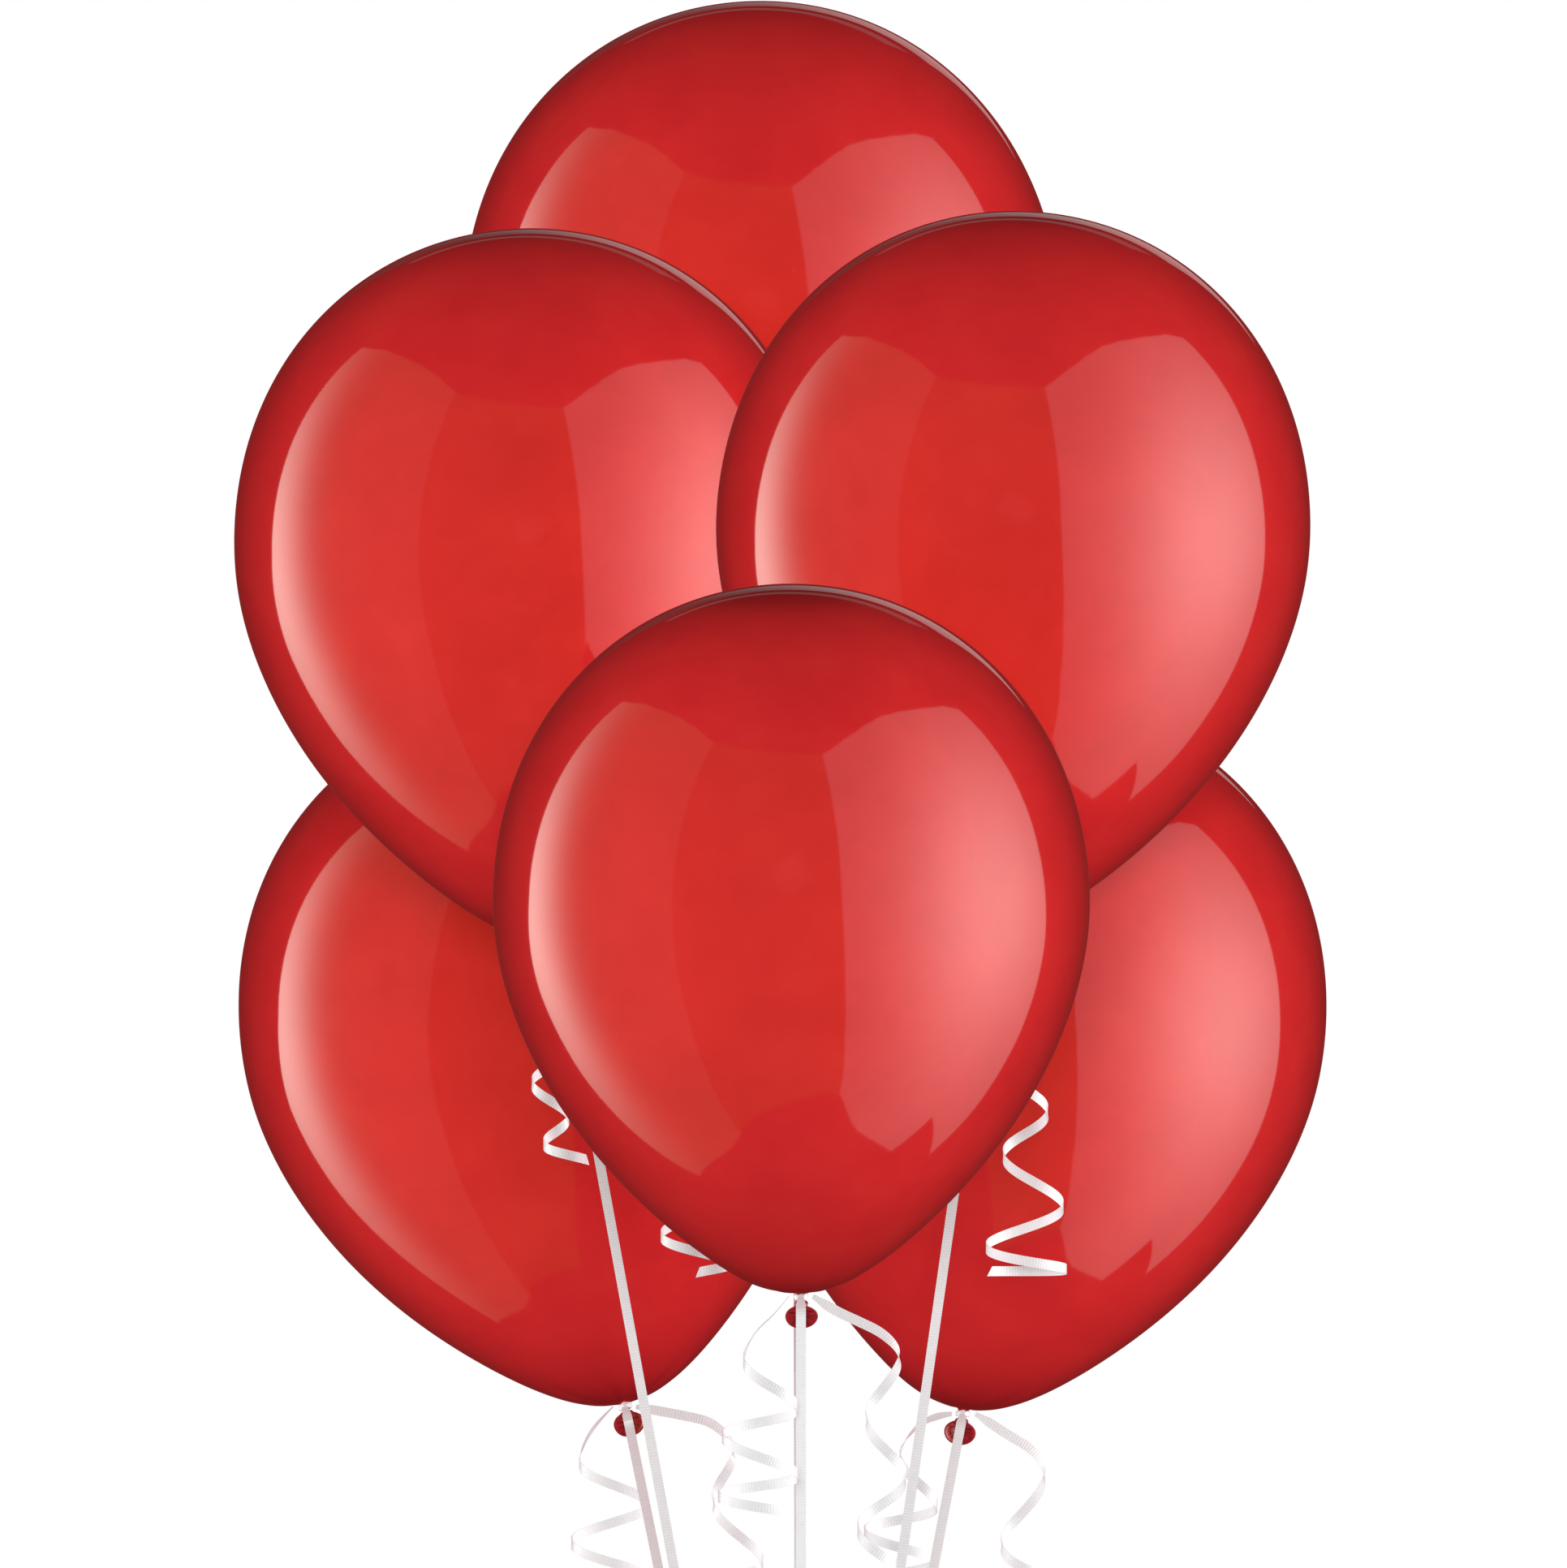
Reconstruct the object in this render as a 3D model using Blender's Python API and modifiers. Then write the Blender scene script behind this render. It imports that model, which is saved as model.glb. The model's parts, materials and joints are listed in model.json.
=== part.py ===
"""A bouquet of six inflated latex balloons on curling ribbon, gathered into one knot.

Metres, +Z up, seen from -Y. The origin is the gather knot, where a hand, a weight or a hook
holds the bouquet. Each balloon stands on its own ribbon, which swings about the origin, and
turns on its own neck inside the ribbon's loop.
"""

import math

import bpy
from mathutils import Matrix, Vector

# Driving dimensions of one balloon, as shares of its largest radius
CROWN_HEIGHT = 1.085
CROWN_POWERS = (2.1, 0.49)
BASE_HEIGHT = 1.313
BASE_POWERS = (1.8, 0.70)
BASE_FULLNESS = 0.12
SKIN_THICKNESS = 0.0003

# Neck, knot and mouth, measured down from the foot of the balloon
NECK_RADIUS = 0.0022
NECK_LENGTH = 0.0038
KNOT_TOP = 0.0042
KNOT_HEIGHT = 0.0042
KNOT_RADIUS = 0.0036
MOUTH_THROAT = (0.0008, 0.0108)
MOUTH_CENTRE = (-0.0036, 0.0123)
MOUTH_WIDTH = 0.0170
MOUTH_HEIGHT = 0.0138
MOUTH_DEPTH = 0.0032
MOUTH_SKIN = 0.0006

# Curling ribbon
RIBBON_WIDTH = 0.005
RIBBON_THICKNESS = 0.0004
LOOP_INNER = 0.0026
LOOP_OUTER = 0.0038
LOOP_TOP = 0.0008
LOOP_BOTTOM = 0.0036
LOOP_KNOT_RADIUS = 0.0022
LOOP_KNOT_FRONT = 0.0046
# The ribbon's way past the mouth, as (distance in front of the neck, distance below the foot)
RIBBON_PAST_MOUTH = ((0.0072, 0.0022), (0.0100, 0.0050), (0.0120, 0.0090), (0.0123, 0.0160))
TAIL_START_RADIUS = 0.0012
TAIL_STEPS = 12

# Gather knot, at the origin
GATHER_RADIUS = 0.011
GATHER_HEIGHT = 0.020
RIBBON_END = 0.0145
BRUSH_TOP = 0.0104
BRUSH_LENGTH = 0.026
BRUSH_RADII = (0.0035, 0.0085)

# Resolution of the turned shapes
SKIN_STEPS = 18
SKIN_POINTS = 7
SMALL_STEPS = 12

RED = (0.56, 0.022, 0.024, 1.0)
DARK_RED = (0.40, 0.012, 0.018, 1.0)
WHITE = (0.86, 0.86, 0.87, 1.0)

# Each balloon's diameter, the centre of its widest circle, how far its foot leans
# to the right and to the back in degrees, and its two curled tails. A tail is
# (sideways reach, reach to the back, drop of its first bend, drop of its end, curl radius).
BALLOONS = {
    "front": {
        "diameter": 0.300,
        "centre": (-0.005, -0.320, 0.698),
        "lean": (1.4, 10.0),
        "tails": {
            "left": (-0.0205, -0.006, 0.036, 0.118, 0.0190),
            "right": (0.0425, -0.004, 0.028, 0.150, 0.0095),
        },
    },
    "middle_right": {
        "diameter": 0.305,
        "centre": (0.108, -0.096, 0.887),
        "lean": (-3.0, 2.0),
        "tails": {
            "left": (-0.0360, 0.012, 0.030, 0.120, 0.0140),
            "right": (0.0180, 0.002, 0.050, 0.176, 0.0200),
        },
    },
    "middle_left": {
        "diameter": 0.309,
        "centre": (-0.139, 0.092, 0.880),
        "lean": (4.0, 0.0),
        "tails": {
            "left": (-0.0030, 0.028, 0.032, 0.112, 0.0150),
            "right": (0.0640, 0.000, 0.034, 0.170, 0.0170),
        },
    },
    "bottom_right": {
        "diameter": 0.310,
        "centre": (0.1175, 0.120, 0.636),
        "lean": (-9.4, -2.0),
        "tails": {
            "left": (-0.0320, 0.010, 0.028, 0.124, 0.0190),
            "right": (0.0310, 0.004, 0.022, 0.120, 0.0120),
        },
    },
    "bottom_left": {
        "diameter": 0.316,
        "centre": (-0.138, 0.368, 0.633),
        "lean": (12.8, -10.0),
        "tails": {
            "left": (-0.0060, 0.016, 0.036, 0.126, 0.0180),
            "right": (0.0530, 0.006, 0.016, 0.122, 0.0100),
        },
    },
    "top": {
        "diameter": 0.316,
        "centre": (-0.020, 0.362, 1.002),
        "lean": (5.0, -6.0),
        "tails": {
            "left": (-0.0140, -0.032, 0.024, 0.062, 0.0080),
            "right": (0.0280, -0.026, 0.024, 0.070, 0.0100),
        },
    },
}


def clear_scene():
    for thing in list(bpy.data.objects):
        bpy.data.objects.remove(thing, do_unlink=True)


def new_collection(name):
    made = bpy.data.collections.new(name)
    bpy.context.scene.collection.children.link(made)
    return made


def finish_material(thing, colour, roughness):
    material = bpy.data.materials.new(thing.name)
    material.use_nodes = True
    shader = material.node_tree.nodes["Principled BSDF"]
    shader.inputs["Base Color"].default_value = colour
    shader.inputs["Roughness"].default_value = roughness
    shader.inputs["Metallic"].default_value = 0.0
    thing.data.materials.append(material)


def add_object(name, data, place, colour, roughness, collection=None):
    """A named object with its own material, put at the matrix place."""
    thing = bpy.data.objects.new(name, data)
    (collection or parts).objects.link(thing)
    thing.matrix_world = place
    finish_material(thing, colour, roughness)
    return thing


def turned(name, profile, steps, place, colour, roughness, collection=None, closed=False):
    """The profile, a list of (radius, height) from top to bottom, turned about local Z."""
    mesh = bpy.data.meshes.new(name)
    edges = [(i, i + 1) for i in range(len(profile) - 1)]
    if closed:
        edges.append((len(profile) - 1, 0))
    mesh.from_pydata([(radius, 0.0, height) for radius, height in profile], edges, [])
    thing = add_object(name, mesh, place, colour, roughness, collection)
    screw = thing.modifiers.new("turn", "SCREW")
    screw.steps = steps
    screw.render_steps = steps
    screw.use_merge_vertices = True
    screw.merge_threshold = 0.00001
    screw.use_smooth_shade = True
    return thing


def give_skin(thing, thickness):
    skin = thing.modifiers.new("skin", "SOLIDIFY")
    skin.thickness = thickness
    skin.offset = -1.0


def ellipse_profile(radius, half_height, centre, points):
    """Half an ellipse beside the axis, top to bottom."""
    angles = [math.pi * i / (points - 1) for i in range(points)]
    profile = [(radius * math.sin(a), centre + half_height * math.cos(a)) for a in angles]
    profile[0] = (0.0, centre + half_height)
    profile[-1] = (0.0, centre - half_height)
    return profile


def balloon_profile(radius):
    """The outer side of the skin from the crown to the open end of the neck, the foot at 0."""
    waist = BASE_HEIGHT * radius
    profile = []
    for i in range(SKIN_POINTS):
        share = math.cos(math.pi / 2.0 * i / SKIN_POINTS)
        width = radius * (1.0 - share ** CROWN_POWERS[0]) ** CROWN_POWERS[1]
        profile.append((width, waist + CROWN_HEIGHT * radius * share))
    profile[0] = (0.0, profile[0][1])
    for i in range(SKIN_POINTS):
        share = math.sin(math.pi / 2.0 * i / SKIN_POINTS)
        power = BASE_POWERS[1] - BASE_FULLNESS * share**12
        profile.append((radius * (1.0 - share ** BASE_POWERS[0]) ** power, waist * (1.0 - share)))
    profile.append((2.0 * NECK_RADIUS, 0.0005))
    profile.append((NECK_RADIUS, -0.1 * NECK_LENGTH))
    profile.append((NECK_RADIUS, -NECK_LENGTH))
    return profile


def balloon_frame(spec):
    """The matrix whose origin is the balloon's foot and whose Z runs to its crown."""
    side, back = (math.radians(angle) for angle in spec["lean"])
    down = Vector(
        (
            math.sin(side) * math.cos(back),
            math.sin(back),
            -math.cos(side) * math.cos(back),
        )
    )
    up = -down
    across = Vector((0.0, 1.0, 0.0)).cross(up).normalized()
    deep = up.cross(across)
    foot = Vector(spec["centre"]) + down * BASE_HEIGHT * spec["diameter"] / 2.0
    frame = Matrix((across, deep, up)).transposed().to_4x4()
    frame.translation = foot
    return frame


def add_balloon(name, spec, frame):
    """Skin, knotted neck and rolled mouth of one balloon."""
    profile = balloon_profile(spec["diameter"] / 2.0)
    skin = turned(f"envelope_{name}", profile, SKIN_STEPS, frame, RED, 0.16)
    give_skin(skin, SKIN_THICKNESS)
    middle = -KNOT_TOP - KNOT_HEIGHT / 2.0
    knot = ellipse_profile(KNOT_RADIUS, KNOT_HEIGHT / 2.0, middle, 6)
    turned(f"neck_knot_{name}", knot, SMALL_STEPS, frame, DARK_RED, 0.35)
    add_mouth(name, frame)


def add_mouth(name, frame):
    """A flared oval mouth with a rolled lip, bent to face the front."""
    throat = Vector((0.0, MOUTH_THROAT[0], -MOUTH_THROAT[1]))
    centre = Vector((0.0, MOUTH_CENTRE[0], -MOUTH_CENTRE[1]))
    outward = (centre - throat).normalized()
    across = Vector((1.0, 0.0, 0.0))
    tall = outward.cross(across)
    aim = Matrix((across, tall, outward)).transposed().to_4x4()
    aim.translation = centre
    half = MOUTH_WIDTH / 2.0
    lip = 0.0009
    profile = [
        (half - 0.4 * lip, 0.4 * lip),
        (half, 0.0),
        (half - 0.6 * lip, -0.7 * lip),
        (0.72 * half, -0.5 * MOUTH_DEPTH),
        (0.30 * half, -MOUTH_DEPTH),
    ]
    squash = Matrix.Scale(MOUTH_HEIGHT / MOUTH_WIDTH, 4, (0.0, 1.0, 0.0))
    mouth = turned(f"mouth_{name}", profile, SMALL_STEPS, frame @ aim @ squash, DARK_RED, 0.3)
    give_skin(mouth, MOUTH_SKIN)


def smooth_route(points, steps):
    """A smooth curve through the points, with steps places on each stretch."""
    ends = [2 * points[0] - points[1], *points, 2 * points[-1] - points[-2]]
    route = []
    for before, here, there, after in zip(ends, ends[1:], ends[2:], ends[3:]):
        for i in range(steps):
            t = i / steps
            route.append(
                0.5
                * (
                    2 * here
                    + (there - before) * t
                    + (2 * before - 5 * here + 4 * there - after) * t * t
                    + (3 * here - before - 3 * there + after) * t**3
                )
            )
    return [*route, points[-1]]


def add_loop(name, frame):
    """The ribbon wound round the neck, with its small front knot."""
    profile = [
        (LOOP_INNER, -LOOP_TOP),
        (LOOP_OUTER, -LOOP_TOP - 0.0004),
        (LOOP_OUTER, -LOOP_BOTTOM + 0.0004),
        (LOOP_INNER, -LOOP_BOTTOM),
    ]
    loop = turned(f"ribbon_loop_{name}", profile, SMALL_STEPS, frame, WHITE, 0.3, closed=True)
    ball = ellipse_profile(LOOP_KNOT_RADIUS, 0.8 * LOOP_KNOT_RADIUS, 0.0, 6)
    middle = (LOOP_TOP + LOOP_BOTTOM) / 2.0
    place = frame @ Matrix.Translation((0.0, -LOOP_KNOT_FRONT, -middle))
    knot = turned(f"loop_knot_{name}", ball, SMALL_STEPS, place, WHITE, 0.3, helpers)
    knot.hide_render = True
    knot.display_type = "WIRE"
    join = loop.modifiers.new("knot", "BOOLEAN")
    join.operation = "UNION"
    join.object = knot


def add_lead(name, foot):
    """The flat straight ribbon from the loop, past the mouth, to the gather knot."""
    up = Vector((foot.x, 0.0, foot.z)).normalized()
    front = Vector((0.0, -1.0, 0.0))
    across = up.cross(front)
    place = Matrix((up, front, across)).transposed().to_4x4()
    place.translation = foot
    route = [Vector((-drop, ahead)) for ahead, drop in RIBBON_PAST_MOUTH]
    target = Vector((-Vector((foot.x, foot.z)).length, foot.y))
    last = (route[-1] - target).normalized()
    route.append(target + last * RIBBON_END)
    outline = []
    for side in (0.5, -0.5):
        line = []
        for i, point in enumerate(route):
            along = route[min(i + 1, len(route) - 1)] - route[max(i - 1, 0)]
            normal = Vector((-along.y, along.x)).normalized()
            line.append(point + normal * side * RIBBON_THICKNESS)
        outline.extend(line if side > 0 else reversed(line))
    curve = bpy.data.curves.new(f"lead_{name}", "CURVE")
    curve.dimensions = "2D"
    curve.fill_mode = "BOTH"
    curve.extrude = RIBBON_WIDTH / 2.0
    spline = curve.splines.new("POLY")
    spline.points.add(len(outline) - 1)
    spline.use_cyclic_u = True
    for point, place_in_plane in zip(spline.points, outline):
        point.co = (*place_in_plane, 0.0, 1.0)
    add_object(f"lead_{name}", curve, place, WHITE, 0.3)


def add_tail(name, side, foot, tail):
    """The space that one curled tail fills: a thin arm from the loop that grows to the curl."""
    reach, back, bend, end, radius = tail
    start = math.copysign(LOOP_OUTER + 0.0022, reach if side == "right" else -1.0)
    points = [
        Vector((start, -0.0016, -0.0022)),
        Vector((0.6 * reach + 0.7 * start, 0.5 * back - 0.001, -0.38 * bend)),
        Vector((reach, back, -bend)),
        Vector((reach, back, -0.5 * (bend + end))),
        Vector((reach, back, -end)),
    ]
    route = smooth_route(points, TAIL_STEPS // 4)
    grow = len(route) // 2
    curve = bpy.data.curves.new(f"tail_{side}_{name}", "CURVE")
    curve.dimensions = "3D"
    curve.bevel_depth = 1.0
    curve.bevel_resolution = 2
    curve.use_fill_caps = True
    spline = curve.splines.new("POLY")
    spline.points.add(len(route) - 1)
    for i, (point, place) in enumerate(zip(spline.points, route)):
        share = min(1.0, i / grow)
        point.co = (*place, 1.0)
        point.radius = TAIL_START_RADIUS + (radius - TAIL_START_RADIUS) * share**2.5
    add_object(f"tail_{side}_{name}", curve, Matrix.Translation(foot), WHITE, 0.3)


def add_gather():
    """The overhand knot that ties the six ribbons together, and their cut ends below it."""
    here = Matrix.Identity(4)
    knot = ellipse_profile(GATHER_RADIUS, GATHER_HEIGHT / 2.0, 0.0, 9)
    turned("gather_knot", knot, 16, here, WHITE, 0.3)
    ends = [
        (0.0, -BRUSH_TOP),
        (BRUSH_RADII[0], -BRUSH_TOP - 0.0012),
        (BRUSH_RADII[1], -BRUSH_TOP - BRUSH_LENGTH),
        (0.0, -BRUSH_TOP - BRUSH_LENGTH),
    ]
    turned("gather_ends", ends, SMALL_STEPS, here, WHITE, 0.3)


clear_scene()
parts = new_collection("balloon_bouquet")
helpers = new_collection("joined_shapes")
for label, balloon in BALLOONS.items():
    balloon_place = balloon_frame(balloon)
    balloon_foot = balloon_place.translation.copy()
    add_balloon(label, balloon, balloon_place)
    add_loop(label, balloon_place)
    add_lead(label, balloon_foot)
    for tail_side, tail_shape in balloon["tails"].items():
        add_tail(label, tail_side, balloon_foot, tail_shape)
add_gather()
bpy.context.view_layer.update()
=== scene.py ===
"""The looks of six latex balloons on curling ribbon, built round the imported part.

Metres, +Z up, seen from -Y, with the origin in the gather knot. Every place comes from the
frame: a balloon's foot and axis from its turn joint, and its radius from its envelope node.
"""

import json
import math

import bmesh
import bpy
import numpy as np
from mathutils import Matrix, Vector


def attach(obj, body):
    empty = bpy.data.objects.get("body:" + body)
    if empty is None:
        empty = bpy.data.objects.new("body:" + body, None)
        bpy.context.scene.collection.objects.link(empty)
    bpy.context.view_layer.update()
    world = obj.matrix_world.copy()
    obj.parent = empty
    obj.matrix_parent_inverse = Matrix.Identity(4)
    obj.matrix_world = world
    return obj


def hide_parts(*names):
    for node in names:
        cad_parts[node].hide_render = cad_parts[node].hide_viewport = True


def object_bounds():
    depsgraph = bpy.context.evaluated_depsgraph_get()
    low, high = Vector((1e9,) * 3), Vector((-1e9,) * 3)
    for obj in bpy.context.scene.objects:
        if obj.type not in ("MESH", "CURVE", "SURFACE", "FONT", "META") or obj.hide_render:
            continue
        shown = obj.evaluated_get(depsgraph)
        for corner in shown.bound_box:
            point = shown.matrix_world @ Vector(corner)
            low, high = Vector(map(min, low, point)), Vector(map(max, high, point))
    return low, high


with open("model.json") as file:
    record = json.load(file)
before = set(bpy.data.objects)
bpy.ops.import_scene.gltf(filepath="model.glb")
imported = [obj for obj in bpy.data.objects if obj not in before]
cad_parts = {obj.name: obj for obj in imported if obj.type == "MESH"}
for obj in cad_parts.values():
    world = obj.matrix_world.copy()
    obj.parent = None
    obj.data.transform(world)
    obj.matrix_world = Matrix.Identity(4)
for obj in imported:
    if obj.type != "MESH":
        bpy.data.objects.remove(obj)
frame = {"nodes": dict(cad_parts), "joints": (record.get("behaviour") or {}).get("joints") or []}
cad_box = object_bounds()

NAMES = ("front", "middle_right", "middle_left", "bottom_right", "bottom_left", "top")

# Camera: a long lens level with the middle of the bouquet
LENS = 600.0
SENSOR = 36.0
VIEW_HEIGHT = 0.7864
VIEW_CENTRE = (-0.009, 0.7594)

# Outline of one balloon, as shares of its largest radius
CROWN_HEIGHT = 1.085
CROWN_POWERS = (2.1, 0.49)
BASE_HEIGHT = 1.313
BASE_POWERS = (1.8, 0.70)
BASE_FULLNESS = 0.12
NECK_RADIUS = 0.0022
NECK_LENGTH = 0.0038
SKIN_STEPS = 160
SKIN_RINGS = 150
OUTLINE_STEPS = 240
OUTLINE_PASSES = 25
PLEAT_HEIGHT = 0.022
PLEAT_DEPTH = 0.035
OUT_OF_ROUND = 0.0022

# Knot and mouth, measured down from the foot of the balloon
KNOT_TOP = 0.0042
KNOT_HEIGHT = 0.0042
KNOT_RADIUS = 0.0036
KNOT_TWIST = 3.4
MOUTH_THROAT = (0.0008, 0.0108)
MOUTH_CENTRE = (-0.0036, 0.0123)
MOUTH_WIDTH = 0.0170
MOUTH_HEIGHT = 0.0138

# Ribbon. SIDES are the places across it, as shares of its width, that carry its points.
RIBBON_WIDTH = 0.005
RIBBON_THICKNESS = 0.00025
RIB_SPACING = 0.0015
SIDES = (-0.5, -0.18, 0.18, 0.5)
BOTH_FACES = (*SIDES, *SIDES[::-1])
SHARP_EDGE = math.radians(50)
LOOP_INNER = 0.0026
LOOP_OUTER = 0.0038
LOOP_TOP = 0.0008
LOOP_BOTTOM = 0.0036
LOOP_KNOT_RADIUS = 0.0022
LOOP_KNOT_FRONT = 0.0046
# The lead's way past the mouth, as (to the front, down) from the foot
RIBBON_PAST_MOUTH = ((0.0072, 0.0022), (0.0100, 0.0050), (0.0126, 0.0090), (0.0136, 0.0160))
LEAD_END = 0.0075
LEAD_STEP = 0.003
TAIL_STEP = 0.0012
TAIL_PASSES = 16
TAIL_SLANT = 0.003

# Gather knot
GATHER_RADIUS = 0.011
GATHER_HEIGHT = 0.020
GATHER_STRANDS = 6
BRUSH_TOP = 0.0070
BRUSH_BOTTOM = 0.0364
BRUSH_RADIUS = 0.0068

# Each balloon's two curled tails, in metres from its foot: how far back the curl hangs, points
# on the way to it, its bends to one side and the other as (to the right, down), the curl's
# depth as a share of its half width at the top and at the end, and whether the ribbon starts
# edge on. The last half turn ends short of its bend by the share CURL_CUT.
CURL_CUT = 0.25
TAILS = {
    "front": {
        "left": {
            "back": -0.006,
            "way": ((-0.0142, 0.0120), (-0.0232, 0.0206)),
            "bends": (
                (-0.0291, 0.0349),
                (-0.0011, 0.0585),
                (-0.0399, 0.0728),
                (-0.0007, 0.0924),
                (-0.0419, 0.1026),
                (-0.0007, 0.1128),
            ),
            "depth": (0.80, 0.90),
            "edge_on": True,
        },
        "right": {
            "back": -0.004,
            "way": ((0.0176, 0.0096), (0.0299, 0.0153), (0.0421, 0.0218)),
            "bends": (
                (0.0499, 0.0328),
                (0.0327, 0.0647),
                (0.0531, 0.0940),
                (0.0282, 0.1193),
                (0.0486, 0.1402),
                (0.0320, 0.1480),
            ),
            "depth": (0.55, 1.05),
            "edge_on": False,
        },
    },
    "middle_right": {
        "left": {
            "back": 0.012,
            "way": ((-0.0250, 0.0130),),
            "bends": (
                (-0.0480, 0.0340),
                (-0.0240, 0.0500),
                (-0.0490, 0.0660),
                (-0.0230, 0.0820),
                (-0.0490, 0.0980),
                (-0.0240, 0.1120),
                (-0.0460, 0.1200),
            ),
            "depth": (0.80, 1.00),
            "edge_on": True,
        },
        "right": {
            "back": 0.002,
            "way": ((0.0130, 0.0150),),
            "bends": (
                (0.0240, 0.0360),
                (-0.0030, 0.0660),
                (0.0288, 0.0951),
                (0.0052, 0.1175),
                (0.0367, 0.1436),
                (-0.0035, 0.1643),
                (0.0384, 0.1755),
                (-0.0064, 0.1768),
            ),
            "depth": (0.65, 0.85),
            "edge_on": False,
        },
    },
    "middle_left": {
        "left": {
            "back": 0.028,
            "way": ((-0.0135, 0.0085), (-0.0185, 0.0210)),
            "bends": (
                (-0.0175, 0.0370),
                (0.0100, 0.0550),
                (-0.0150, 0.0730),
                (0.0050, 0.0910),
                (-0.0090, 0.1050),
                (0.0170, 0.1150),
            ),
            "depth": (0.80, 1.10),
            "edge_on": True,
        },
        "right": {
            "back": 0.0,
            "way": ((0.0240, 0.0110), (0.0480, 0.0210)),
            "bends": (
                (0.0800, 0.0420),
                (0.0480, 0.0660),
                (0.0800, 0.0900),
                (0.0480, 0.1140),
                (0.0800, 0.1340),
                (0.0520, 0.1520),
                (0.0890, 0.1660),
                (0.0700, 0.1720),
            ),
            "depth": (0.70, 0.90),
            "edge_on": False,
        },
    },
    "bottom_right": {
        "left": {
            "back": 0.010,
            "way": ((-0.0135, 0.0035), (-0.0241, 0.0090)),
            "bends": (
                (-0.0333, 0.0246),
                (-0.0131, 0.0506),
                (-0.0518, 0.0637),
                (-0.0131, 0.0792),
                (-0.0501, 0.0918),
                (-0.0140, 0.1045),
                (-0.0493, 0.1150),
            ),
            "depth": (0.75, 0.95),
            "edge_on": True,
        },
        "right": {
            "back": 0.004,
            "way": ((0.0117, 0.0056), (0.0243, 0.0140), (0.0357, 0.0212)),
            "bends": (
                (0.0424, 0.0342),
                (0.0193, 0.0708),
                (0.0420, 0.0897),
                (0.0205, 0.1015),
                (0.0407, 0.1120),
            ),
            "depth": (0.55, 1.05),
            "edge_on": False,
        },
    },
    "bottom_left": {
        "left": {
            "back": 0.016,
            "way": ((-0.0147, 0.0115), (-0.0203, 0.0201)),
            "bends": (
                (-0.0241, 0.0329),
                (0.0131, 0.0543),
                (-0.0284, 0.0744),
                (0.0131, 0.0927),
                (-0.0228, 0.1055),
                (0.0122, 0.1162),
                (-0.0220, 0.1239),
            ),
            "depth": (0.75, 0.90),
            "edge_on": True,
        },
        "right": {
            "back": 0.006,
            "way": ((0.0195, 0.0047), (0.0366, 0.0081), (0.0473, 0.0118)),
            "bends": (
                (0.0579, 0.0260),
                (0.0464, 0.0534),
                (0.0733, 0.0842),
                (0.0473, 0.0970),
                (0.0665, 0.1077),
                (0.0481, 0.1184),
            ),
            "depth": (0.60, 1.05),
            "edge_on": False,
        },
    },
    "top": {
        "left": {
            "back": -0.032,
            "way": ((-0.0100, 0.0110),),
            "bends": (
                (-0.0220, 0.0250),
                (-0.0060, 0.0360),
                (-0.0220, 0.0450),
                (-0.0060, 0.0530),
                (-0.0210, 0.0600),
            ),
            "depth": (1.10, 1.20),
            "edge_on": True,
        },
        "right": {
            "back": -0.026,
            "way": ((0.0160, 0.0040), (0.0330, 0.0080)),
            "bends": (
                (0.0380, 0.0260),
                (0.0190, 0.0380),
                (0.0380, 0.0480),
                (0.0190, 0.0580),
                (0.0370, 0.0670),
            ),
            "depth": (1.00, 1.10),
            "edge_on": False,
        },
    },
}

# Studio: soft panels that only gloss sees, on a dome round the bouquet. Azimuth is seen from
# the bouquet, 0 towards the camera and 90 to its right; all in degrees.
DOME_RADIUS = 10.0
DOME_CENTRE = (0.0, 0.0, 0.75)
FLAG_Y = (-0.30, 0.75)
FLAG_Z = (-0.40, 0.66)

# Lights: name, azimuth, elevation, strength, angular size, and whether it casts shadows
LIGHTS = (
    ("front", 0.0, 5.0, 1.50, 13.0, True),
    ("left", -84.0, 0.0, 2.25, 40.0, False),
    ("right", 88.0, 0.0, 3.15, 40.0, False),
    ("top", 0.0, 70.0, 0.55, 60.0, False),
    ("floor_bounce", 0.0, -80.0, 1.45, 60.0, False),
)
LIGHT_DISTANCE = 4.0
WARM = (1.0, 0.50, 0.06, 1.0)
ROOM = (0.32, 0.029, 0.029)
FLOOR_RADIUS = 6.0
FLOOR_GAP = 0.002


def balloon_place(name):
    """(matrix whose origin is the balloon's foot and whose Z runs to its crown, radius)."""
    joint = next(j for j in frame["joints"] if j["name"] == f"turn_{name}")
    foot, up = Vector(joint["pos_m"]), Vector(joint["axis"]).normalized()
    across = Vector((0.0, 1.0, 0.0)).cross(up).normalized()
    place = Matrix((across, up.cross(across), up)).transposed().to_4x4()
    place.translation = foot
    skin = frame["nodes"][f"envelope_{name}"].data.vertices
    radius = max((v.co - foot).cross(up).length for v in skin)
    return place, radius


# ---------------------------------------------------------------- meshes


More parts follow.
